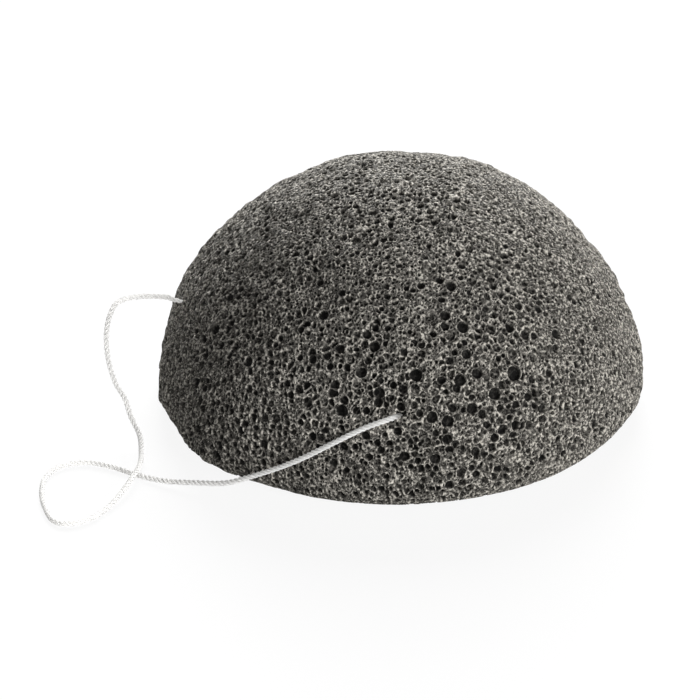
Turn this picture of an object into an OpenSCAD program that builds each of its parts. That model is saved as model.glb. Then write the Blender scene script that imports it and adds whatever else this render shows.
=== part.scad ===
// Half-ball konjac facial sponge with a twisted cotton hanging string.
// Millimetres, +Z up, origin at the middle of the flat base.

/* [Sponge] */
// Diameter of the sponge at its widest place, just above the base
sponge_d = 80; // [76:1:100]
// Height of the dome above its flat base
sponge_h = 40; // [30:1:41]
// Radius of the rounded edge round the base
edge_r = 4; // [2:0.5:8]

/* [String] */
// Diameter of the twisted cotton string
string_d = 0.9; // [0.6:0.1:1.5]
// Width of the knot that holds the loop inside the foam
knot_d = 3.2; // [2.4:0.1:5]

/* [Threading] */
// Clearance between the string or its knot and the foam round it
thread_gap = 0.1; // [0.05:0.05:0.2]
// Width of the open pore that the string dives into on the front
mouth_d = 4.4; // [3.6:0.2:6]
// Distance of that pore's middle outside the string's exit
mouth_out = 1.6; // [1:0.2:2]

/* [Hidden] */

// Overrun of every cut past the face that it opens
overrun = 2;

sponge_r = sponge_d / 2;
string_r = string_d / 2;
knot_r = knot_d / 2;
pocket_r = knot_r + thread_gap;
channel_r = string_r + thread_gap;
dome_rise = sponge_h - edge_r;

// Facets of a preview, round the sponge and round a bore
round_fn = 96;
bore_fn = 32;

// Place of the knot, as shares of the sponge's radius, radius and height
knot_place_shares = [0.35, -0.2, 0.18];
knot_place = [
    knot_place_shares.x * sponge_r,
    knot_place_shares.y * sponge_r,
    knot_place_shares.z * sponge_h
];

// Route of the free string, from its exit at the side to the one at the front, as it lies
// round a sponge of the sizes that this route was measured at
measured_d = 80;
measured_h = 40;
measured_route = [
    [-35.2, -2.6, 18.2], [-37, -2.4, 18.6], [-38.1, -2.3, 19], [-41, -3, 19.5],
    [-44, -4, 19.7], [-46, -5.5, 19.5], [-47, -7.2, 18.3], [-47.5, -9, 16.5],
    [-47.5, -10.5, 14], [-47, -12, 11.5], [-46, -13.5, 9], [-44.5, -15, 7], [-43.5, -16.5, 4.5],
    [-42, -19, 2.5], [-41.5, -23, 1.5], [-41.5, -27, 1.5], [-42.5, -31.5, 1.5],
    [-44, -35.5, 1], [-46, -39.5, 0.5], [-48.5, -42.5, 0.5], [-51.5, -44, 0.5],
    [-54, -43, 0.5], [-55.5, -39.5, 0.5], [-56.5, -35, 0.5], [-56.5, -30, 0.5],
    [-54.5, -26, 0.5], [-50.5, -24.5, 0.5], [-46, -26, 0.5], [-42, -28.5, 0.5],
    [-37.5, -31, 0.8], [-32.5, -33, 1.6], [-27.5, -34.5, 2.4], [-23.5, -35.5, 4.1],
    [-19, -36.7, 6.4], [-15, -37.7, 8.8], [-10.5, -38.6, 11.8], [-6, -38.6, 14.3],
    [-3, -38.6, 15.6], [-1, -38.1, 16.1], [0, -37.2, 16], [0.5, -35.8, 15.4]
];

// The same route round a sponge of any size, just clear of the table where it lies
table_gap = 0.05;
lowest_z = 0.5;
route = [
    for (p = measured_route) [
        p.x * sponge_d / measured_d,
        p.y * sponge_d / measured_d,
        string_r + table_gap + (p.z - lowest_z) * sponge_h / measured_h
    ]
];
exit_side = route[0];
exit_front = route[len(route) - 1];

// Rings to a span of the route, and sides of the string's tube
span_rings = 2;
string_sides = 8;

// Unit vector along v
function unit(v) = v / norm(v);

// Directions in which the string leaves the knot for each exit
side_way = unit(exit_side - knot_place);
front_way = unit(exit_front - knot_place);

// Radius of the sides' arc, as a share of the rise from the widest place to the crown
side_arc_share = 0.89;
side_r = side_arc_share * dome_rise;

// Radius of the crown's arc that meets the sides' arc with no corner
crown_r = (sponge_r * sponge_r - 2 * sponge_r * side_r + dome_rise * dome_rise)
    / (2 * (dome_rise - side_r));
crown_z = sponge_h - crown_r;
side_x = sponge_r - side_r;
reach = 2 * sponge_d;

// Unit vector of the half section along which the two arcs meet
meet_way = unit([side_x, edge_r - crown_z]);

// Point of the smooth curve through b and c, a share t of the way, with neighbours a and d
function curve_point(a, b, c, d, t) =
    (2 * b + (c - a) * t + (2 * a - 5 * b + 4 * c - d) * t * t
        + (3 * b - a - 3 * c + d) * t * t * t) / 2;

// Route with one mirrored point before its start and one past its end
long_route = [
    2 * route[0] - route[1],
    for (p = route) p,
    2 * exit_front - route[len(route) - 2]
];

// Middles of the tube's rings
ring_middles = [
    for (i = [1 : len(route) - 1], k = [0 : span_rings - 1])
        curve_point(long_route[i - 1], long_route[i], long_route[i + 1], long_route[i + 2],
                    k / span_rings),
    exit_front
];
last_ring = len(ring_middles) - 1;

// Direction of the string at each ring, square to the inner runs at both ends
ring_ways = [
    for (i = [0 : last_ring])
        i == 0 ? side_way
            : i == last_ring ? -front_way
            : unit(ring_middles[i + 1] - ring_middles[i - 1])
];

// Side vector of each ring, carried along the string without turning about it
function square_to(v, way) = unit(v - way * (v * way));
ring_sides = [
    for (i = 0, s = square_to([0, 1, 0], ring_ways[0]);
         i <= last_ring;
         i = i + 1, s = i <= last_ring ? square_to(s, ring_ways[i]) : s) s
];

string_points = [
    for (i = [0 : last_ring], k = [0 : string_sides - 1])
        let (turn = 360 * k / string_sides, other = cross(ring_ways[i], ring_sides[i]))
        ring_middles[i] + string_r * (cos(turn) * ring_sides[i] + sin(turn) * other)
];

// Number of the point at ring i, corner k
function corner(i, k) = i * string_sides + k % string_sides;

string_faces = [
    for (i = [0 : last_ring - 1], k = [0 : string_sides - 1])
        [corner(i, k), corner(i, k + 1), corner(i + 1, k + 1)],
    for (i = [0 : last_ring - 1], k = [0 : string_sides - 1])
        [corner(i, k), corner(i + 1, k + 1), corner(i + 1, k)],
    for (k = [1 : string_sides - 2]) [corner(0, 0), corner(0, k + 1), corner(0, k)],
    for (k = [1 : string_sides - 2])
        [corner(last_ring, 0), corner(last_ring, k), corner(last_ring, k + 1)]
];

// Turns a part that stands along +Z so that it stands along way
module along(way)
    rotate([0, acos(way.z), atan2(way.y, way.x)]) children();

// Straight round bar or bore from a point along a way
module bar(start, way, length, radius)
    translate(start) along(way) cylinder(h = length, r = radius, $fn = bore_fn);

// Wedge of the half section from a corner, between two directions
module wedge(apex, way_a, way_b)
    polygon([apex, apex + reach * way_a, apex + reach * way_b]);

// Half section of the sponge: the crown's disc down to the flat base, trimmed back to the
// arc of the sides and to the rounded edge
module half_section()
    difference() {
        intersection() {
            translate([0, crown_z]) circle(r = crown_r, $fn = round_fn);
            square([reach, reach]);
        }
        difference() {
            wedge([side_x, edge_r], [1, 0], meet_way);
            translate([side_x, edge_r]) circle(r = side_r, $fn = round_fn);
        }
        difference() {
            translate([sponge_r - edge_r, -overrun]) square([reach, edge_r + overrun]);
            translate([sponge_r - edge_r, edge_r]) circle(r = edge_r, $fn = round_fn);
        }
    }

// The molded half ball before anything is cut from it
module dome()
    rotate_extrude($fn = round_fn) half_section();

// Pocket and bores that the needle opens for the string, and its mouth on the front
module threading() {
    translate(knot_place) sphere(r = pocket_r, $fn = round_fn);
    bar(knot_place, side_way, norm(exit_side - knot_place) + overrun, channel_r);
    bar(knot_place, front_way, norm(exit_front - knot_place) + overrun, channel_r);
    translate(exit_front + front_way * mouth_out) sphere(d = mouth_d, $fn = round_fn);
}

// Foam half ball, molded in one piece, with the string's way through it
module sponge_body()
    color("#4b4845") difference() {
        dome();
        threading();
    }

// Free stretch of the string: out of the side, down, round its loop and up the front
module string_loop()
    color("#f2f0ea") polyhedron(points = string_points, faces = string_faces, convexity = 10);

// The string's two ends inside the foam, tied in a knot that can't pull out
module string_tied_ends()
    color("#f2f0ea") {
        translate(knot_place) sphere(r = knot_r, $fn = round_fn);
        bar(knot_place, side_way, norm(exit_side - knot_place), string_r);
        bar(knot_place, front_way, norm(exit_front - knot_place), string_r);
    }

sponge_body();
string_loop();
string_tied_ends();
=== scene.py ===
"""Looks of a half-ball konjac sponge and its cotton hanging string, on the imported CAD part.

Shapes are worked out in millimetres, in the CAD frame, and put into the meshes in metres.
"""

import bpy
import numpy as np
from mathutils import Matrix


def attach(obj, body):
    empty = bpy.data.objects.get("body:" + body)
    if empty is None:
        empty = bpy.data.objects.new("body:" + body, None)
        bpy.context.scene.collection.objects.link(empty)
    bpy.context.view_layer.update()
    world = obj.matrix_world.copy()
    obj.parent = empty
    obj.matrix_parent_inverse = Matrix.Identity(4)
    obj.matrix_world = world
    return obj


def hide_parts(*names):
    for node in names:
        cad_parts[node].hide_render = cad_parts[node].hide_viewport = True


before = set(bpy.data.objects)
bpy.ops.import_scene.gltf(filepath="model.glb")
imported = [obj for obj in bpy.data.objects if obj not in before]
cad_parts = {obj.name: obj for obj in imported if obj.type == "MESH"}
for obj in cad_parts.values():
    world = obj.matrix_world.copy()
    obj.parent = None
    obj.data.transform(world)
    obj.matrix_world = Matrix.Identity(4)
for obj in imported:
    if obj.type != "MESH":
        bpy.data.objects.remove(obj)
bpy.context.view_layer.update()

MM = 0.001

# Foam half ball, as in the CAD source
SPONGE_R, SPONGE_H, EDGE_R = 40.0, 40.0, 4.0
SIDE_ARC_R = 0.89 * (SPONGE_H - EDGE_R)
SIDE_ARC_X = SPONGE_R - SIDE_ARC_R
RISE = SPONGE_H - EDGE_R
CROWN_R = (SPONGE_R**2 - 2 * SPONGE_R * SIDE_ARC_R + RISE**2) / (2 * (RISE - SIDE_ARC_R))
CROWN_Z = SPONGE_H - CROWN_R
CROWN_END = np.arctan2(SIDE_ARC_X, EDGE_R - CROWN_Z)

# Squares along one side of the foam's skin, and how many of them meet one square of the base
SKIN_SQUARES, BASE_STEP = 840, 3
SKIN_END_R = 33.0
SHEET_GAP = 0.15

# Foam cells of three sizes: box of their lattice, least and greatest radius, the share of boxes
# that hold a bubble or the wall between two cells, and the seed of their draws
BIG_BUBBLES = {"size": 3.0, "low": 0.5, "high": 1.15, "share": 0.9, "seed": 11}
CELLS = {"size": 1.12, "low": 0.28, "high": 0.94, "wall": 0.05, "seed": 12}
SMALL_CELLS = {"size": 0.56, "low": 0.2, "high": 0.43, "wall": 0.03, "seed": 13}

# How far the places of all cells waver, and the depth that no pore passes
WAVER, DEEPEST_PORE = 0.13, 1.1

# Corners of the lattices of cells and of noise, well outside the sponge
CELL_CORNER, NOISE_CORNER, NOISE_SHIFT = 60.0, 100.0, 0.37

# Cotton string: its width, the length in which its plies turn once, and the stretch over which
# it thins at each end
STRING_D, STRING_LAY, STRING_TAPER = 0.9, 2.4, 2.4

# Plies, how far out their middles are, and their radius, as shares of the string's radius
STRING_PLIES, PLY_OUT, PLY_R = 3, 0.48, 0.52

# Step between the rings of the string's mesh, and points in each
STRING_STEP, STRING_SIDES = 0.1, 36

# Route of the free string, from its exit at the side to the one at the front, as in the CAD source
STRING_ROUTE = np.array([
    [-35.2, -2.6, 18.2], [-37, -2.4, 18.6], [-38.1, -2.3, 19], [-41, -3, 19.5], [-44, -4, 19.7],
    [-46, -5.5, 19.5], [-47, -7.2, 18.3], [-47.5, -9, 16.5], [-47.5, -10.5, 14], [-47, -12, 11.5],
    [-46, -13.5, 9], [-44.5, -15, 7], [-43.5, -16.5, 4.5], [-42, -19, 2.5], [-41.5, -23, 1.5],
    [-41.5, -27, 1.5], [-42.5, -31.5, 1.5], [-44, -35.5, 1], [-46, -39.5, 0.5],
    [-48.5, -42.5, 0.5], [-51.5, -44, 0.5], [-54, -43, 0.5], [-55.5, -39.5, 0.5],
    [-56.5, -35, 0.5], [-56.5, -30, 0.5], [-54.5, -26, 0.5], [-50.5, -24.5, 0.5],
    [-46, -26, 0.5], [-42, -28.5, 0.5], [-37.5, -31, 0.8], [-32.5, -33, 1.6],
    [-27.5, -34.5, 2.4], [-23.5, -35.5, 4.1], [-19, -36.7, 6.4], [-15, -37.7, 8.8],
    [-10.5, -38.6, 11.8], [-6, -38.6, 14.3], [-3, -38.6, 15.6], [-1, -38.1, 16.1],
    [0, -37.2, 16], [0.5, -35.8, 15.4],
])

# Camera: distance, height of aim, width of the frame and focal length in pixels, then its angle
# above the table and two small swings
VIEW_DISTANCE, AIM_Z, FRAME_PX, FOCAL_PX = 600.0, 18.0, 700.0, 3656.4
VIEW_RISE, VIEW_YAW, VIEW_PITCH = np.radians([26.82, 0.777, 0.845])
SENSOR_WIDTH = 36.0

# Steps in which a sight line is followed to the sponge
SIGHT_STEPS = 80

# Lamps: distance and size in metres, then the direction and the level of each
LAMP_DISTANCE, LAMP_SIZE = 1.2, 0.6
LAMPS = {
    "back_lamp": ((-0.05, 0.92, 0.32), 1.0),
    "high_lamp": ((0.05, 0.8, 0.58), 1.35),
    "right_lamp": ((0.68, -0.68, 0.17), 1.1),
    "front_lamp": ((0.0, -0.95, 0.25), 0.18),
}

# Level of the light from all round, half width of the floor, and how far it lies under the base
ROOM_LEVEL, FLOOR_HALF, FLOOR_DROP = 0.1, 6000.0, 0.02

# Open pores on the front, as place and width in pixels of the photograph's frame
OPEN_PORES = np.array([
    [421, 285, 8.6], [452, 285, 9.8], [440, 279, 8.6], [461, 277, 6.3], [463, 327, 11.5],
    [445, 315, 9.8], [510, 327, 10], [527, 334, 10], [515, 373, 14], [478, 373, 10.5],
    [461, 380, 11.5], [442, 380, 7.6], [416, 375, 11], [467, 354, 9.7], [496, 394, 11.5],
    [473, 409, 9.7], [483, 415, 9], [453, 408, 8.7], [432, 418, 10.7], [402, 389, 7.6],
    [442, 299, 7], [533, 304, 5.5], [499, 358, 7], [504, 355, 5], [509, 362, 5.5],
    [459, 345, 6.3], [433, 334, 8.5], [402, 308, 6], [543, 409, 8.7], [472, 397, 6.3],
    [558, 334, 9], [445, 326, 8.5], [323, 315, 10], [286, 328, 7], [301, 330, 7],
    [280, 338, 6.5], [230, 343, 7.5], [230, 317, 5.5], [248, 295, 5], [250, 306, 5],
    [291, 395, 7.5], [287, 384, 7], [301, 422, 10], [312, 359, 8], [299, 358, 6],
    [330, 366, 8], [337, 349, 6], [251, 353, 5], [241, 351, 4.6], [232, 371, 6],
    [250, 377, 6], [245, 383, 5], [191, 379, 4.6], [191, 403, 5.5], [203, 350, 5],
    [246, 429, 8], [190, 421, 5], [286, 417, 5], [285, 433, 6], [340, 349, 9.7],
    [367, 334, 9], [374, 346, 10.2], [381, 310, 7.6], [357, 304, 7.5], [347, 308, 6],
    [353, 295, 5.6], [367, 302, 5], [410, 332, 6.5], [388, 328, 7], [395, 326, 5],
    [375, 327, 7], [364, 323, 6], [348, 332, 6], [404, 338, 4.6], [411, 345, 4.6],
    [455, 352, 6.5], [340, 366, 6.6], [368, 360, 7.6], [375, 362, 3.6], [361, 372, 11],
    [417, 363, 4.5], [457, 388, 7.5], [393, 385, 7.6], [403, 389, 7.6], [379, 393, 9.7],
    [378, 403, 9.2], [344, 400, 8.7], [341, 411, 11], [366, 411, 7.6], [371, 408, 3.6],
    [401, 407, 7.6], [424, 396, 4.6], [424, 401, 4.6], [420, 414, 6], [381, 381, 5],
    [448, 422, 10.5], [398, 432, 9], [366, 436, 9], [384, 435, 7.5], [377, 443, 9],
    [389, 444, 6.5], [381, 450, 8], [344, 447, 9.7], [355, 447, 7.5], [369, 456, 9.5],
    [404, 457, 10.7], [403, 440, 5.6], [410, 442, 6], [410, 447, 5], [419, 444, 6],
    [436, 434, 6.6], [438, 443, 5], [448, 440, 9.5], [437, 450, 4.6], [450, 451, 7.6],
    [477, 442, 7.6], [477, 453, 8.7], [496, 439, 8.7], [493, 421, 6.3], [473, 470, 6.6],
    [436, 460, 9.7], [418, 462, 6], [428, 468, 6.6], [436, 470, 6.6], [411, 468, 5],
    [387, 466, 5], [397, 460, 5.6], [365, 464, 6], [345, 471, 7.6], [358, 477, 7],
    [371, 478, 6], [386, 478, 8], [346, 484, 8], [381, 489, 7.6], [416, 492, 6],
    [432, 490, 5.6], [451, 478, 8], [501, 408, 7.6], [511, 419, 7], [517, 426, 9.7],
    [504, 431, 9.2], [516, 446, 6.6], [512, 398, 5.6], [517, 405, 7.6], [509, 387, 4.6],
    [529, 397, 9], [536, 393, 8], [545, 408, 8.7], [555, 420, 9], [565, 415, 5.6],
    [572, 414, 4], [573, 423, 5.6], [543, 431, 6], [562, 431, 6.6], [594, 389, 6.6],
    [585, 383, 7.6], [585, 405, 5], [556, 453, 6.6], [562, 458, 6], [545, 460, 8],
    [508, 459, 7.6], [514, 454, 6.6], [512, 468, 6.6], [512, 477, 6], [502, 467, 6.6],
])
# Pores that a thin film still closes a little under the skin
FILMED_PORES = np.array([
    [472, 280, 9], [491, 329, 11.5], [430, 318, 9.8], [495, 373, 11], [491, 410, 8.7],
    [513, 354, 10], [451, 335, 10], [481, 397, 9], [533, 290, 7], [526, 282, 7.5],
    [494, 285, 8.5], [276, 344, 7.5], [307, 402, 10], [386, 336, 8], [350, 359, 10],
    [381, 359, 7.6], [323, 376, 7.6], [390, 398, 9.5], [356, 411, 8], [415, 389, 9],
    [425, 443, 11], [462, 451, 9], [427, 454, 7], [438, 482, 8.7], [451, 487, 9],
    [424, 481, 7], [546, 397, 8], [517, 472, 9.7], [553, 463, 6], [477, 459, 6],
])

# Dents and swells of the lump, as place in the photograph's frame, and width and height in mm
SHAPE_SWELLS = np.array([
    [214, 450, 7, 1.05], [250, 478, 8, 0.35], [600, 440, 7, -1.1], [560, 470, 9, -0.4],
    [172, 420, 2.5, -0.3], [161, 396, 4, 0.75], [186, 283, 10, -0.7], [168, 345, 8, -0.3],
    [606, 258, 9, -0.72], [641, 372, 5, 0.3], [180, 303, 1.8, 0.45], [206, 453, 4, 0.2],
    [546, 199, 8, 0.6], [500, 488, 7, -0.5], [568, 222, 6, -0.4],
])


def camera_axes():
    """Right, up and forward of the camera, and its place. It looks along +Y from the stated
    distance and rise, then is swung by the yaw and the pitch."""
    right = np.array([1.0, 0.0, 0.0])
    up = np.array([0.0, np.sin(VIEW_RISE), np.cos(VIEW_RISE)])
    ahead = np.array([0.0, np.cos(VIEW_RISE), -np.sin(VIEW_RISE)])
    cy, sy, cp, sp = np.cos(VIEW_YAW), np.sin(VIEW_YAW), np.cos(VIEW_PITCH), np.sin(VIEW_PITCH)
    turned = (
        cy * right - sp * sy * up + cp * sy * ahead,
        cp * up + sp * ahead,
        -sy * right - sp * cy * up + cp * cy * ahead,
    )
    return *turned, np.array([0.0, 0.0, AIM_Z]) - VIEW_DISTANCE * ahead


def photo_camera():
    """Camera at the photograph's viewing angle, with the focal length that fits its frame."""
    right, up, ahead, place = camera_axes()
    camera = bpy.data.objects.new("photo_camera", bpy.data.cameras.new("photo_camera"))
    camera.data.sensor_width = SENSOR_WIDTH
    camera.data.lens = FOCAL_PX / FRAME_PX * SENSOR_WIDTH
    camera.data.clip_start, camera.data.clip_end = 0.05, 50.0
    bpy.context.collection.objects.link(camera)
    rows = np.column_stack([right, up, -ahead, place * MM]).tolist()
    camera.matrix_world = Matrix([*rows, [0, 0, 0, 1]])
    bpy.context.scene.camera = camera


def mesh_piece(name, points, faces, smooth=True):
    """Puts whole arrays of points, in millimetres, and of three- or four-cornered faces in a mesh."""
    mesh = bpy.data.meshes.new(name)
    corners = np.concatenate([f.ravel() for f in faces]).astype(np.int32)
    sizes = np.concatenate([np.full(len(f), f.shape[1]) for f in faces])
    starts = np.concatenate([[0], np.cumsum(sizes)[:-1]]).astype(np.int32)
    mesh.vertices.add(len(points))
    mesh.vertices.foreach_set("co", (points * MM).astype(np.float32).ravel())
    mesh.loops.add(len(corners))
    mesh.loops.foreach_set("vertex_index", corners)
    mesh.polygons.add(len(sizes))
    mesh.polygons.foreach_set("loop_start", starts)
    mesh.polygons.foreach_set("use_smooth", np.full(len(sizes), smooth))
    mesh.update(calc_edges=True)
    mesh.validate()
    piece = bpy.data.objects.new(name, mesh)
    bpy.context.collection.objects.link(piece)
    return piece


def point_values(piece, name, values):
    """Gives each point of a piece one number that its material reads."""
    layer = piece.data.attributes.new(name, "FLOAT", "POINT")
    layer.data.foreach_set("value", values.astype(np.float32))


def smooth_route(points, step):
    """Catmull-Rom curve through the points, with a mirrored point past each end, then cut anew
    at even lengths of about one step."""
    long = np.vstack([2 * points[0] - points[1], points, 2 * points[-1] - points[-2]])
    t = np.linspace(0, 1, 60, endpoint=False)[None, :, None]
    a, b, c, d = (long[i:len(long) - 3 + i, None, :] for i in range(4))
    fine = (2 * b + (c - a) * t + (2 * a - 5 * b + 4 * c - d) * t**2
            + (3 * b - a - 3 * c + d) * t**3) / 2
    fine = np.vstack([fine.reshape(-1, 3), points[-1]])
    run = np.concatenate([[0], np.cumsum(np.linalg.norm(np.diff(fine, axis=0), axis=1))])
    cuts = np.linspace(0, run[-1], int(run[-1] / step) + 1)
    return np.column_stack([np.interp(cuts, run, fine[:, k]) for k in range(3)]), cuts


def carried_frame(line):
    """Side and rise directions along a line, carried forward by the least turn at each step."""
    ahead = np.gradient(line, axis=0)
    ahead /= np.linalg.norm(ahead, axis=1, keepdims=True)
    side = np.empty_like(line)
    first = np.cross(ahead[0], [0.0, 0.0, 1.0])
    side[0] = first / np.linalg.norm(first)
    for i in range(1, len(line)):
        kept = side[i - 1] - ahead[i] * (side[i - 1] @ ahead[i])
        side[i] = kept / np.linalg.norm(kept)
    return side, np.cross(ahead, side), ahead


def twisted_string(name, points):
    """String of plies laid together: its outline is that of round plies pressed into each other
    a little way out from the middle, and it turns once per lay along the length. Its width varies
    by a few percent and thins at both ends. Rings of such outlines at even steps are joined, and
    a middle point closes each end."""
    line, run = smooth_route(points, STRING_STEP)
    side, rise, ahead = carried_frame(line)
    around = np.arange(STRING_SIDES) / STRING_SIDES * 2 * np.pi
    turned = around[None, :] + 2 * np.pi * run[:, None] / STRING_LAY
    width = 1 + 0.035 * np.sin(run / 3.1) * np.sin(run / 7.7 + 1)
    width *= 0.6 + 0.4 * np.clip(np.minimum(run, run[-1] - run) / STRING_TAPER, 0, 1)
    ply = 2 * np.pi / STRING_PLIES
    off = (around + ply / 2) % ply - ply / 2
    outline = PLY_OUT * np.cos(off) + np.sqrt(PLY_R**2 - (PLY_OUT * np.sin(off)) ** 2)
    groove = np.abs(off) / (ply / 2)
    out = (STRING_D / 2) * outline[None, :] * width[:, None]
    rings = (line[:, None] + out[..., None] * (np.cos(turned)[..., None] * side[:, None]
             + np.sin(turned)[..., None] * rise[:, None]))
    n, m = rings.shape[:2]
    i, j = np.meshgrid(np.arange(n - 1), np.arange(m), indexing="ij")
    nxt = (j + 1) % m
    walls = np.stack([i * m + j, i * m + nxt, (i + 1) * m + nxt, (i + 1) * m + j], -1)
    rim = np.arange(m)
    start = np.column_stack([np.full(m, n * m), (rim + 1) % m, rim])
    end = np.column_stack([np.full(m, n * m + 1), (n - 1) * m + rim, (n - 1) * m + (rim + 1) % m])
    ends = np.vstack([line[0] - 0.1 * ahead[0], line[-1] + 0.1 * ahead[-1]])
    corners = np.vstack([rings.reshape(-1, 3), ends])
    piece = mesh_piece(name, corners, [walls.reshape(-1, 4), start, end])
    length = np.concatenate([np.repeat(run, m), [0, run[-1]]])
    point_values(piece, "run", length)
    point_values(piece, "to_end", run[-1] - length)
    point_values(piece, "groove", np.concatenate([np.tile(groove, n), [0, 0]]))
    point_values(piece, "ply_angle", np.concatenate([np.tile(around, n), [0, 0]]))
    return piece, line


def skin_distance(at):
    """Distance in front of the plain half ball's skin: to the crown arc, the side arc or the
    rounded edge, whichever lies across from the point."""
    r, z = np.hypot(at[..., 0], at[..., 1]), at[..., 2]
    crown = np.hypot(r, z - CROWN_Z) - CROWN_R
    side = np.hypot(r - SIDE_ARC_X, z - EDGE_R) - SIDE_ARC_R
    edge = np.hypot(r - SPONGE_R + EDGE_R, z - EDGE_R) - EDGE_R
    across = np.arctan2(r, z - CROWN_Z) < CROWN_END
    return np.where(across, crown, np.where(z > EDGE_R, side, edge))


def skin_normal(at):
    """Outward direction of the plain skin, from how its distance grows along each axis."""
    steps = np.eye(3) * 0.01
    grown = [skin_distance(at + s) - skin_distance(at - s) for s in steps]
    out = np.stack(grown, -1)
    return out / np.linalg.norm(out, axis=-1, keepdims=True)


def seen_places(pixels):
    """Where the sight lines through these pixels meet the plain skin: each line is followed by
    its distance to the skin until that is gone."""
    right, up, ahead, place = camera_axes()
    mid = FRAME_PX / 2
    way = (ahead * FOCAL_PX + (pixels[:, :1] - mid) * right - (pixels[:, 1:2] - mid) * up)
    way /= np.linalg.norm(way, axis=1, keepdims=True)
    gone = np.full(len(pixels), VIEW_DISTANCE - 2 * SPONGE_R)
    for _ in range(SIGHT_STEPS):
        gone += skin_distance(place + way * gone[:, None])
    return place + way * gone[:, None], gone


def outline_arcs():
    """Half outline of the foam as dense points: crown arc, side arc, rounded edge, and a short
    way in along the flat side. Gives radius, height and the angle of the outward direction."""
    a = np.concatenate([
        np.linspace(0, CROWN_END, 600, endpoint=False),
        np.linspace(CROWN_END, np.pi / 2, 600, endpoint=False),
        np.linspace(np.pi / 2, np.pi, 200),
    ])
    middle_r = np.where(a < CROWN_END, 0, np.where(a < np.pi / 2, SIDE_ARC_X, SPONGE_R - EDGE_R))
    middle_z = np.where(a < CROWN_END, CROWN_Z, EDGE_R)
    arc_r = np.where(a < CROWN_END, CROWN_R, np.where(a < np.pi / 2, SIDE_ARC_R, EDGE_R))
    flat = np.linspace(SPONGE_R - EDGE_R, SKIN_END_R, 60)[1:]
    r = np.concatenate([middle_r + arc_r * np.sin(a), flat])
    z = np.concatenate([middle_z + arc_r * np.cos(a), 0 * flat])
    return r, z, np.concatenate([a, np.full(len(flat), np.pi)])


def square_on_disc(n):
    """Lays an even n by n square on the unit disc, each small square keeping its share of the
    area: rings of the square become circles, and places along a ring become angles."""
    s = np.linspace(-1, 1, n)
    a, b = np.meshgrid(s, s, indexing="ij")
    wide = np.abs(a) > np.abs(b)
    ring, along = np.where(wide, a, b), np.where(wide, b, a)
    turn = np.pi / 4 * along / np.where(ring == 0, 1, ring)
    angle = np.where(wide, turn, np.pi / 2 - turn)
    return ring * np.cos(angle), ring * np.sin(angle)


def square_faces(n, first=0):
    """Four-cornered faces of an n by n sheet of points, whose own numbers start at first."""
    i, j = np.meshgrid(np.arange(n - 1), np.arange(n - 1), indexing="ij")
    at = first + i * n + j
    return np.stack([at, at + n, at + n + 1, at + 1], -1).reshape(-1, 4)


def square_border(n, first=0):
    """Numbers of the border points of an n by n sheet, once round."""
    k = np.arange(n - 1)
    sides = [k * n, (n - 1) * n + k, (n - 1 - k) * n + n - 1, n - 1 - k]
    return first + np.concatenate(sides)


def ease(value):
    """Smooth step from 0 to 1."""
    value = np.clip(value, 0, 1)
    return value * value * (3 - 2 * value)


def soft_noise(at, size, seed):
    """Smooth noise from -1 to 1: random values on a lattice of the given size, eased between."""
    rng = np.random.default_rng(seed)
    cell = at / size + NOISE_CORNER / size + NOISE_SHIFT
    low = np.floor(cell).astype(int)
    part = ease(cell - low)
    table = rng.random((low.max(0) + 2)) * 2 - 1
    total = np.zeros(len(at))
    for corner in np.ndindex(2, 2, 2):
        weight = np.prod(np.where(corner, part, 1 - part), axis=1)
        total += weight * table[tuple((low + corner).T)]
    return total


def cut_bubble(at, out, middle, radius, film, edge):
    """Depth at which each place meets the far wall of one bubble, looking in against the outward
    direction, no deeper than its film, and how far outside the bubble's opening it lies."""
    off = at - middle
    far2 = np.einsum("ij,ij->i", off, off)
    under = np.einsum("ij,ij->i", off, out)
    inside = ease((radius - np.sqrt(far2)) / edge)
    depth = under + np.sqrt(np.clip(radius**2 - far2 + under**2, 0, None))
    return np.clip(np.minimum(depth, film), 0, None) * inside, np.sqrt(far2) - radius


def bubbles(at, out, size, low, high, share, swell, seed):
    """Bubbles of one generation: one may sit in each box of a lattice, off its middle, with its
    own radius, and a film closes about a third of them. Gives, for each place, the deepest cut
    and the distance to the nearest opening."""
    rng = np.random.default_rng(seed)
    box = np.floor((at + CELL_CORNER) / size).astype(np.int32)
    drawn = rng.random((*(box.max(0) + 2), 6), dtype=np.float32)
    depth, gap = np.zeros(len(at), np.float32), np.full(len(at), size, np.float32)
    for step in np.ndindex(3, 3, 3):
        near = box + np.array(step) - 1
        draw = drawn[near[:, 0], near[:, 1], near[:, 2]]
        middle = (near + 0.12 + 0.76 * draw[:, :3]) * size - CELL_CORNER
        radius = (low + (high - low) * draw[:, 3] ** 1.6) * swell
        film = radius * np.where(draw[:, 5] < 0.35, 0.55, 2.0)
        cut, off = cut_bubble(at, out, middle, radius, film, np.minimum(0.16, 0.5 * radius))
        there = draw[:, 4] < share
        depth = np.where(there, np.maximum(depth, cut), depth)
        gap = np.where(there, np.minimum(gap, off), gap)
    return depth, gap


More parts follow.
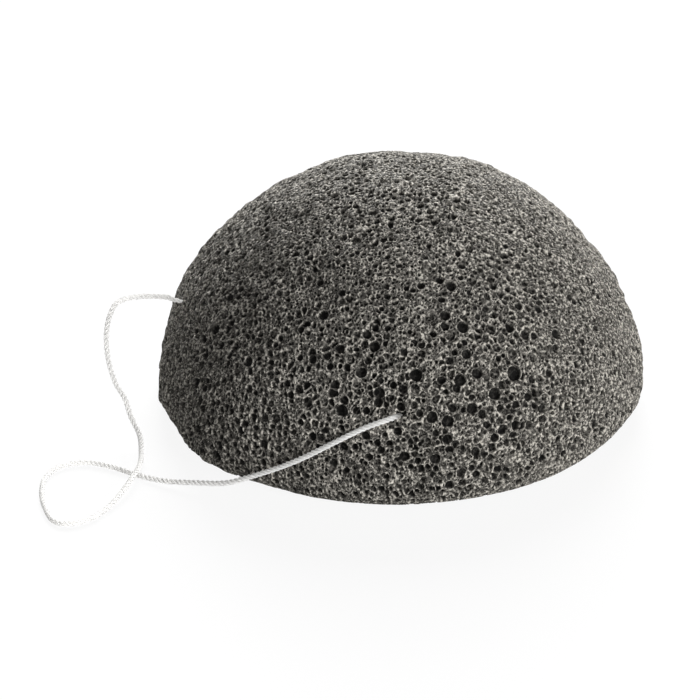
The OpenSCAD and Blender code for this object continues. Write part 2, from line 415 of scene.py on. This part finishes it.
def packed_cells(at, out, size, low, high, wall, swell, seed):
    """Closely packed cells of one generation: bubbles drawn as above, where the nearest one owns
    each place and a thin wall stays halfway to the next. Gives the depth of each place, how far
    it is inside its cell, the cell's own draw, and the distance to the nearest wall, which is
    below zero inside a cell. A cell with a low draw is shallow, because a film closes it."""
    rng = np.random.default_rng(seed)
    box = np.floor((at + CELL_CORNER) / size).astype(np.int32)
    drawn = rng.random((*(box.max(0) + 2), 5), dtype=np.float32)
    first, second = np.full((2, len(at)), 9.0, np.float32)
    deep, own = np.zeros((2, len(at)), np.float32)
    for step in np.ndindex(3, 3, 3):
        near = box + np.array(step) - 1
        draw = drawn[near[:, 0], near[:, 1], near[:, 2]]
        radius = (low + (high - low) * draw[:, 3]) * swell
        off = at - (near + 0.1 + 0.8 * draw[:, :3]) * size + CELL_CORNER
        far2 = np.einsum("ij,ij->i", off, off)
        gap = np.sqrt(far2) - radius
        closer = gap < first
        second = np.where(closer, first, np.minimum(second, gap))
        under = np.einsum("ij,ij->i", off, out)
        wall_depth = under + np.sqrt(np.clip(radius**2 - far2 + under**2, 0, None))
        deep = np.where(closer, np.minimum(wall_depth, (0.25 + 1.5 * draw[:, 4]) * radius), deep)
        own = np.where(closer, draw[:, 4], own)
        first = np.minimum(first, gap)
    edge = np.maximum(first, wall - (second - first) / 2)
    inside = ease(-edge / 0.1)
    return np.clip(deep, 0, None) * inside, inside, own, edge


def foam_sheets(n, nb):
    """Half ball before any bubble is cut, as points and outward directions: a square sheet of n
    by n points, whose rings follow the outline at equal shares of area, and under its open
    middle a flat one of nb by nb."""
    r, z, lean = outline_arcs()
    run = np.hypot(np.diff(r), np.diff(z))
    area = np.concatenate([[0], np.cumsum(run * (r[1:] + r[:-1]) / 2)])
    u, v = (w.ravel() for w in square_on_disc(n))
    shared = np.clip(u**2 + v**2, 0, 1) * area[-1]
    turn = np.arctan2(v, u)
    ring_r, ring_z, ring_lean = (np.interp(shared, area, w) for w in (r, z, lean))
    skin = np.column_stack([ring_r * np.cos(turn), ring_r * np.sin(turn), ring_z])
    skin_out = np.column_stack([np.sin(ring_lean) * np.cos(turn),
                                np.sin(ring_lean) * np.sin(turn), np.cos(ring_lean)])
    ub, vb = (w.ravel() for w in square_on_disc(nb))
    base = np.column_stack([ub, vb, 0 * ub]) * (SKIN_END_R - SHEET_GAP)
    base_out = np.tile([0.0, 0.0, -1.0], (len(base), 1))
    return np.vstack([skin, base]), np.vstack([skin_out, base_out])


def foam_faces(n, nb):
    """Faces of both sheets, and triangles between their borders. Each side of the base's border
    meets as many squares of the skin's as BASE_STEP says: about half of them fan out from its
    first point and the rest from its second."""
    fine, rough = square_border(n), square_border(nb, n * n)
    half = BASE_STEP // 2 + BASE_STEP % 2
    k = np.arange(len(rough))
    fans = []
    for s in range(BASE_STEP):
        hub = rough if s < half else np.roll(rough, -1)
        a, b = fine[(k * BASE_STEP + s) % len(fine)], fine[(k * BASE_STEP + s + 1) % len(fine)]
        fans.append(np.column_stack([hub, b, a]))
    mid_fine = fine[(k * BASE_STEP + half) % len(fine)]
    fans.append(np.column_stack([rough, np.roll(rough, -1), mid_fine]))
    return [square_faces(n), square_faces(nb, n * n)[:, ::-1], np.vstack(fans)]


def foam_half_ball():
    """Foam lump, with bubbles of three generations cut into it along the inward direction, each
    on the walls that the one before left: the front's measured pores with the big bubbles, the
    packed cells, and the smaller ones. Big bubbles and packed cells shrink towards the crown.
    Each point keeps the painted shade of its cells, heavier where they are deeper, and how near it is
    to their edges."""
    n, nb = SKIN_SQUARES + 1, SKIN_SQUARES // BASE_STEP + 1
    plain, out = foam_sheets(n, nb)
    at = plain + out * shape_swell(plain, out)[:, None]

    waver = WAVER * np.column_stack([soft_noise(plain, 1.1, seed) for seed in (31, 32, 33)])
    at = at + waver
    front, looks = seen_places(np.vstack([OPEN_PORES, FILMED_PORES]))
    widths = np.vstack([OPEN_PORES, FILMED_PORES])[:, 2] * looks / FOCAL_PX
    filmed = np.arange(len(front)) >= len(OPEN_PORES)
    depth, gap, shown, film = front_pores(at, out, front, widths, filmed)

    zone = np.clip(0.74 + 0.45 * soft_noise(plain, 11.0, 5) + 0.3 * shown
                   - 0.6 * (plain[:, 2] / SPONGE_H) ** 2, 0.0, 1.0)
    big, big_gap = bubbles(at, out, swell=(0.2 + 0.8 * zone) * (1 - shown), **BIG_BUBBLES)
    depth, gap = np.maximum(depth, big), np.minimum(gap, big_gap)
    # Painted shade in the cut pores: darker the deeper the cut, less under a film, which closes the
    # pore with its own grey
    painted_shade = ease(depth / 0.3) * (0.9 - 0.36 * film)
    kept = ease((np.abs(gap) - 0.04) / 0.08)
    edges = {"pore_edge": gap}
    patch = soft_noise(plain, 3.2, 7)
    levels = {
        "cell_edge": (0.66 + 0.4 * zone + 0.16 * patch, CELLS),
        "small_cell_edge": (1.0, SMALL_CELLS),
    }
    for name, (swell, cells) in levels.items():
        cut = at - out * depth[:, None]
        cell, inside, own, edge = packed_cells(cut, out, swell=swell, **cells)
        depth = depth + cell * kept
        # Each packed cell adds painted shade, heavier for the deeper cells
        painted_shade = 1 - (1 - painted_shade) * (1 - inside * kept * (0.4 + 0.6 * own))
        kept = kept * ease((np.abs(edge) - 0.02) / 0.05)
        edges[name] = edge
    depth = DEEPEST_PORE * np.tanh(depth / DEEPEST_PORE)
    done = at - waver - out * depth[:, None]
    done[:, 2] = np.maximum(done[:, 2], 0.0)

    piece = mesh_piece("foam_half_ball", done, foam_faces(n, nb))
    point_values(piece, "cell_dark", painted_shade)
    for name, edge in edges.items():
        point_values(piece, name, edge)
    return piece


def shape_swell(plain, out):
    """How far the set lump stands off the plain half ball, in or out: noise of three sizes and
    the round swells that the photograph shows, fading to nothing on the flat side."""
    low = np.clip(1.6 * (out[:, 2] + 1.0), 0, 1)
    swell = (0.25 * soft_noise(plain, 17.0, 3) + 0.3 * soft_noise(plain, 5.5, 4)
             + 0.24 * soft_noise(plain, 1.5, 6))
    for place, (_, _, wide, high) in zip(seen_places(SHAPE_SWELLS)[0], SHAPE_SWELLS):
        swell += high * np.exp(-((plain - place) ** 2).sum(axis=1) / (2 * wide**2))
    return swell * low


def front_pores(at, out, front, widths, filmed):
    """Cuts the pores that the photograph shows: each bubble's middle lies under the skin by its
    own share of the radius, so that its opening has the measured width. Gives the depth of each
    place, its distance to the nearest opening, how near it is to any of these pores, and where
    a film closes one."""
    rng = np.random.default_rng(21)
    sunk = rng.uniform(0.15, 0.6, len(front))
    radius = widths / 2 / np.sqrt(1 - sunk**2) + 0.07
    normal = skin_normal(front)
    middle = front - normal * (sunk * radius)[:, None]
    film = np.where(filmed, 0.4, 1.9 * radius)
    depth, gap = np.zeros(len(at)), np.full(len(at), 3.0)
    shown, closed = np.zeros(len(at)), np.zeros(len(at))
    for c, f, r, s in zip(middle, front, radius, film):
        near = np.flatnonzero(np.abs(at - f).max(axis=1) < 3.0)
        cut, off = cut_bubble(at[near], out[near], c, r, s, 0.16)
        closed[near] = np.where(cut > depth[near], s < 0.5, closed[near])
        depth[near] = np.maximum(depth[near], cut)
        gap[near] = np.minimum(gap[near], off)
        away = np.linalg.norm(at[near] - f, axis=1)
        shown[near] = np.maximum(shown[near], np.clip(1.6 - away / 2.0, 0, 1))
    return depth, gap, shown, closed


class Nodes:
    """The nodes of a material or of the world, with short calls that add one and join it."""

    def __init__(self, owner):
        owner.use_nodes = True
        self.owner, self.tree = owner, owner.node_tree
        self.tree.nodes.clear()

    def node(self, kind, settings=None, **inputs):
        """Node with the given settings and inputs, each a plain value or another's output. An
        input is named with _ for a space, or i and its number."""
        made = self.tree.nodes.new(kind)
        for key, value in (settings or {}).items():
            setattr(made, key, value)
        for key, value in inputs.items():
            name = int(key[1:]) if key[0] == "i" and key[1:].isdigit() else key.replace("_", " ")
            if isinstance(value, bpy.types.NodeSocket):
                self.tree.links.new(value, made.inputs[name])
            else:
                made.inputs[name].default_value = value
        return made

    def math(self, operation, a, b=0.0):
        """Result of one operation on two numbers."""
        return self.node("ShaderNodeMath", {"operation": operation}, i0=a, i1=b).outputs[0]

    def mix(self, factor, a, b):
        """Colour between a and b."""
        return self.node("ShaderNodeMix", {"data_type": "RGBA"}, i0=factor, i6=a, i7=b).outputs[2]

    def ramp(self, value, low, high):
        """Smooth step from 0 at low to 1 at high."""
        return self.node("ShaderNodeMapRange", {"interpolation_type": "SMOOTHSTEP"}, Value=value,
                         From_Min=low, From_Max=high).outputs[0]

    def value(self, name):
        """Number that each point of the mesh carries under this name."""
        return self.node("ShaderNodeAttribute", {"attribute_name": name}).outputs["Fac"]

    def noise(self, place, size, detail):
        """Noise with grains of about this size in mm."""
        return self.node("ShaderNodeTexNoise", Vector=place, Scale=1 / MM / size,
                         Detail=detail).outputs[0]

    def surface(self, socket):
        """Ends the material with its surface."""
        self.node("ShaderNodeOutputMaterial", Surface=socket)


def charcoal_foam():
    """Set foam with charcoal in it: thin light webs round the cells, with painted glints here and
    there, a darker grey between them that finer cells break up, and painted shade in the cells,
    heavier the deeper they are."""
    f = Nodes(bpy.data.materials.new("charcoal_foam"))
    place = f.node("ShaderNodeTexCoord").outputs["Object"]
    finer = f.node("ShaderNodeTexVoronoi", {"feature": "DISTANCE_TO_EDGE"}, Vector=place,
                   Scale=1 / MM / 0.46).outputs["Distance"]
    cloud = f.noise(place, 8.0, 3.0)
    glint = f.noise(place, 0.45, 2.0)
    grain = f.noise(place, 0.2, 2.0)
    webs = [f.ramp(f.math("ABSOLUTE", f.value(name)), wide, 0.015)
            for name, wide in (("pore_edge", 0.11), ("cell_edge", 0.09), ("small_cell_edge", 0.07))]
    web = f.math("MAXIMUM", f.math("MAXIMUM", webs[0], webs[1]), f.math("MULTIPLY", webs[2], 0.8))
    # Share left lit by the painted shade in the cells: towards 0 the colour goes to the near black
    # painted shade
    light = f.math("POWER", f.math("SUBTRACT", 1.0, f.value("cell_dark")), 1.25)
    plain = f.mix(f.ramp(cloud, 0.35, 0.65), (0.009, 0.0085, 0.0077, 1),
                  (0.0205, 0.0194, 0.0174, 1))
    veined = f.mix(f.ramp(finer, 0.08, 0.03), plain, (0.175, 0.1655, 0.148, 1))
    # Painted glints: where the glint noise is high the webs go near white
    web_with_painted_glints = f.mix(f.ramp(glint, 0.42, 0.66), (0.112, 0.106, 0.0945, 1), (0.74, 0.702, 0.628, 1))
    colour = f.mix(light, (0.005, 0.0047, 0.0044, 1), f.mix(web, veined, web_with_painted_glints))
    height = f.math("ADD", f.ramp(finer, 0.2, 0.0), f.math("MULTIPLY", grain, 0.6))
    bump = f.node("ShaderNodeBump", Strength=0.8, Distance=0.0001, Height=height)
    shader = f.node("ShaderNodeBsdfPrincipled", Base_Color=colour, Roughness=0.75,
                    Normal=bump.outputs[0])
    shader.inputs["Specular IOR Level"].default_value = 0.1
    f.surface(shader.outputs[0])
    return f.owner


def cotton_fibre(plied):
    """White cotton, which lets some light through: fine fibres along each ply, painted shade down in
    the grooves between plies, and painted shade where it dives into a pore at the front. On the
    plain CAD solid, which has no ply values, the fibres follow noise alone."""
    f = Nodes(bpy.data.materials.new("twisted_cotton" if plied else "hidden_cotton"))
    hair = f.noise(f.node("ShaderNodeTexCoord").outputs["Object"], 0.12, 4.0)
    colour = f.mix(f.ramp(hair, 0.3, 0.7), (0.93, 0.927, 0.915, 1), (0.98, 0.978, 0.97, 1))
    height = f.math("MULTIPLY", hair, 0.5)
    if plied:
        angle, run, groove = f.value("ply_angle"), f.value("run"), f.value("groove")
        along = f.node("ShaderNodeCombineXYZ", X=f.math("MULTIPLY", run, 1.2),
                       Y=f.math("MULTIPLY", f.math("SINE", angle), 9.0),
                       Z=f.math("MULTIPLY", f.math("COSINE", angle), 9.0))
        fibre = f.node("ShaderNodeTexNoise", Vector=along.outputs[0], Scale=1.3,
                       Detail=4.0).outputs[0]
        # Painted shade down in the grooves between the plies
        colour = f.mix(f.math("MULTIPLY", f.ramp(groove, 0.6, 1.0), 0.8), colour,
                       (0.45, 0.44, 0.42, 1))
        # Painted shade where the string dives into a pore at the front: it goes near black over its
        # last few mm
        colour = f.mix(f.ramp(f.value("to_end"), 1.9, 3.4), (0.13, 0.125, 0.12, 1), colour)
        height = f.math("ADD", height, fibre)
    bump = f.node("ShaderNodeBump", Strength=0.5, Distance=0.00006, Height=height)
    shader = f.node("ShaderNodeBsdfPrincipled", Base_Color=colour, Roughness=0.9,
                    Normal=bump.outputs[0])
    shader.inputs["Sheen Weight"].default_value = 0.5
    shader.inputs["Specular IOR Level"].default_value = 0.2
    through = f.node("ShaderNodeBsdfTranslucent", Color=(0.98, 0.975, 0.965, 1))
    f.surface(f.node("ShaderNodeMixShader", i0=0.4, i1=shader.outputs[0],
                     i2=through.outputs[0]).outputs[0])
    return f.owner


def seen_directly(f):
    """1 on rays from the camera, from gloss and through glass, and 0 on the rest."""
    ray = f.node("ShaderNodeLightPath").outputs
    seen = f.math("MAXIMUM", ray["Is Camera Ray"], ray["Is Glossy Ray"])
    return f.math("MAXIMUM", seen, ray["Is Transmission Ray"])


def pale_floor():
    """Plain white floor, wide and flat, just under the base. What looks at it directly sees nine
    parts of plain white and one part of the lit floor, so that the object's shadow stays faint."""
    ways = np.array([[-1, -1], [1, -1], [1, 1], [-1, 1]])
    corners = np.column_stack([ways * FLOOR_HALF, np.full(4, -FLOOR_DROP)])
    floor = mesh_piece("pale_floor", corners, [np.array([[0, 1, 2, 3]])], smooth=False)
    f = Nodes(bpy.data.materials.new("pale_floor"))
    seen = seen_directly(f)
    lit = f.node("ShaderNodeBsdfDiffuse",
                 Color=f.mix(seen, (0.3, 0.3, 0.3, 1), (0.95, 0.95, 0.95, 1)))
    plain = f.node("ShaderNodeEmission", Color=(1, 1, 1, 1), Strength=1.0)
    share = f.math("MULTIPLY", seen, 0.9)
    f.surface(f.node("ShaderNodeMixShader", i0=share, i1=lit.outputs[0],
                     i2=plain.outputs[0]).outputs[0])
    floor.data.materials.append(f.owner)


def white_room():
    """Even light from all round, and a white backdrop for what looks at it directly."""
    f = Nodes(bpy.data.worlds.new("white_room"))
    strength = f.node("ShaderNodeMapRange", Value=seen_directly(f), To_Min=ROOM_LEVEL, To_Max=1.0)
    light = f.node("ShaderNodeBackground", Color=(1, 1, 1, 1), Strength=strength.outputs[0])
    f.node("ShaderNodeOutputWorld", Surface=light.outputs[0])
    bpy.context.scene.world = f.owner


def soft_lamp(name, way, level):
    """Square lamp that faces the sponge's middle from a direction. A white wall that faces it
    there would show the stated level: power is pi squared times distance squared times level."""
    way = np.array(way) / np.linalg.norm(way)
    data = bpy.data.lights.new(name, "AREA")
    data.shape, data.size = "SQUARE", LAMP_SIZE
    data.energy = np.pi**2 * LAMP_DISTANCE**2 * level
    lamp = bpy.data.objects.new(name, data)
    bpy.context.collection.objects.link(lamp)
    side = np.cross([0.0, 0.0, 1.0], way)
    side /= np.linalg.norm(side)
    place = way * LAMP_DISTANCE + [0, 0, AIM_Z * MM]
    rows = np.column_stack([side, np.cross(way, side), way, place])
    lamp.matrix_world = Matrix([*rows.tolist(), [0, 0, 0, 1]])


photo_camera()

string, string_line = twisted_string("string_free_stretch", STRING_ROUTE)
string.data.materials.append(cotton_fibre(True))
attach(string, "root")
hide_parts("string_loop")

tied_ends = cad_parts["string_tied_ends"]
tied_ends.data.materials.clear()
tied_ends.data.materials.append(cotton_fibre(False))

foam = foam_half_ball()
foam.data.materials.append(charcoal_foam())
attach(foam, "root")
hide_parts("sponge_body")

pale_floor()
white_room()
for name, (way, level) in LAMPS.items():
    soft_lamp(name, way, level)
bpy.context.scene.view_settings.view_transform = "Standard"
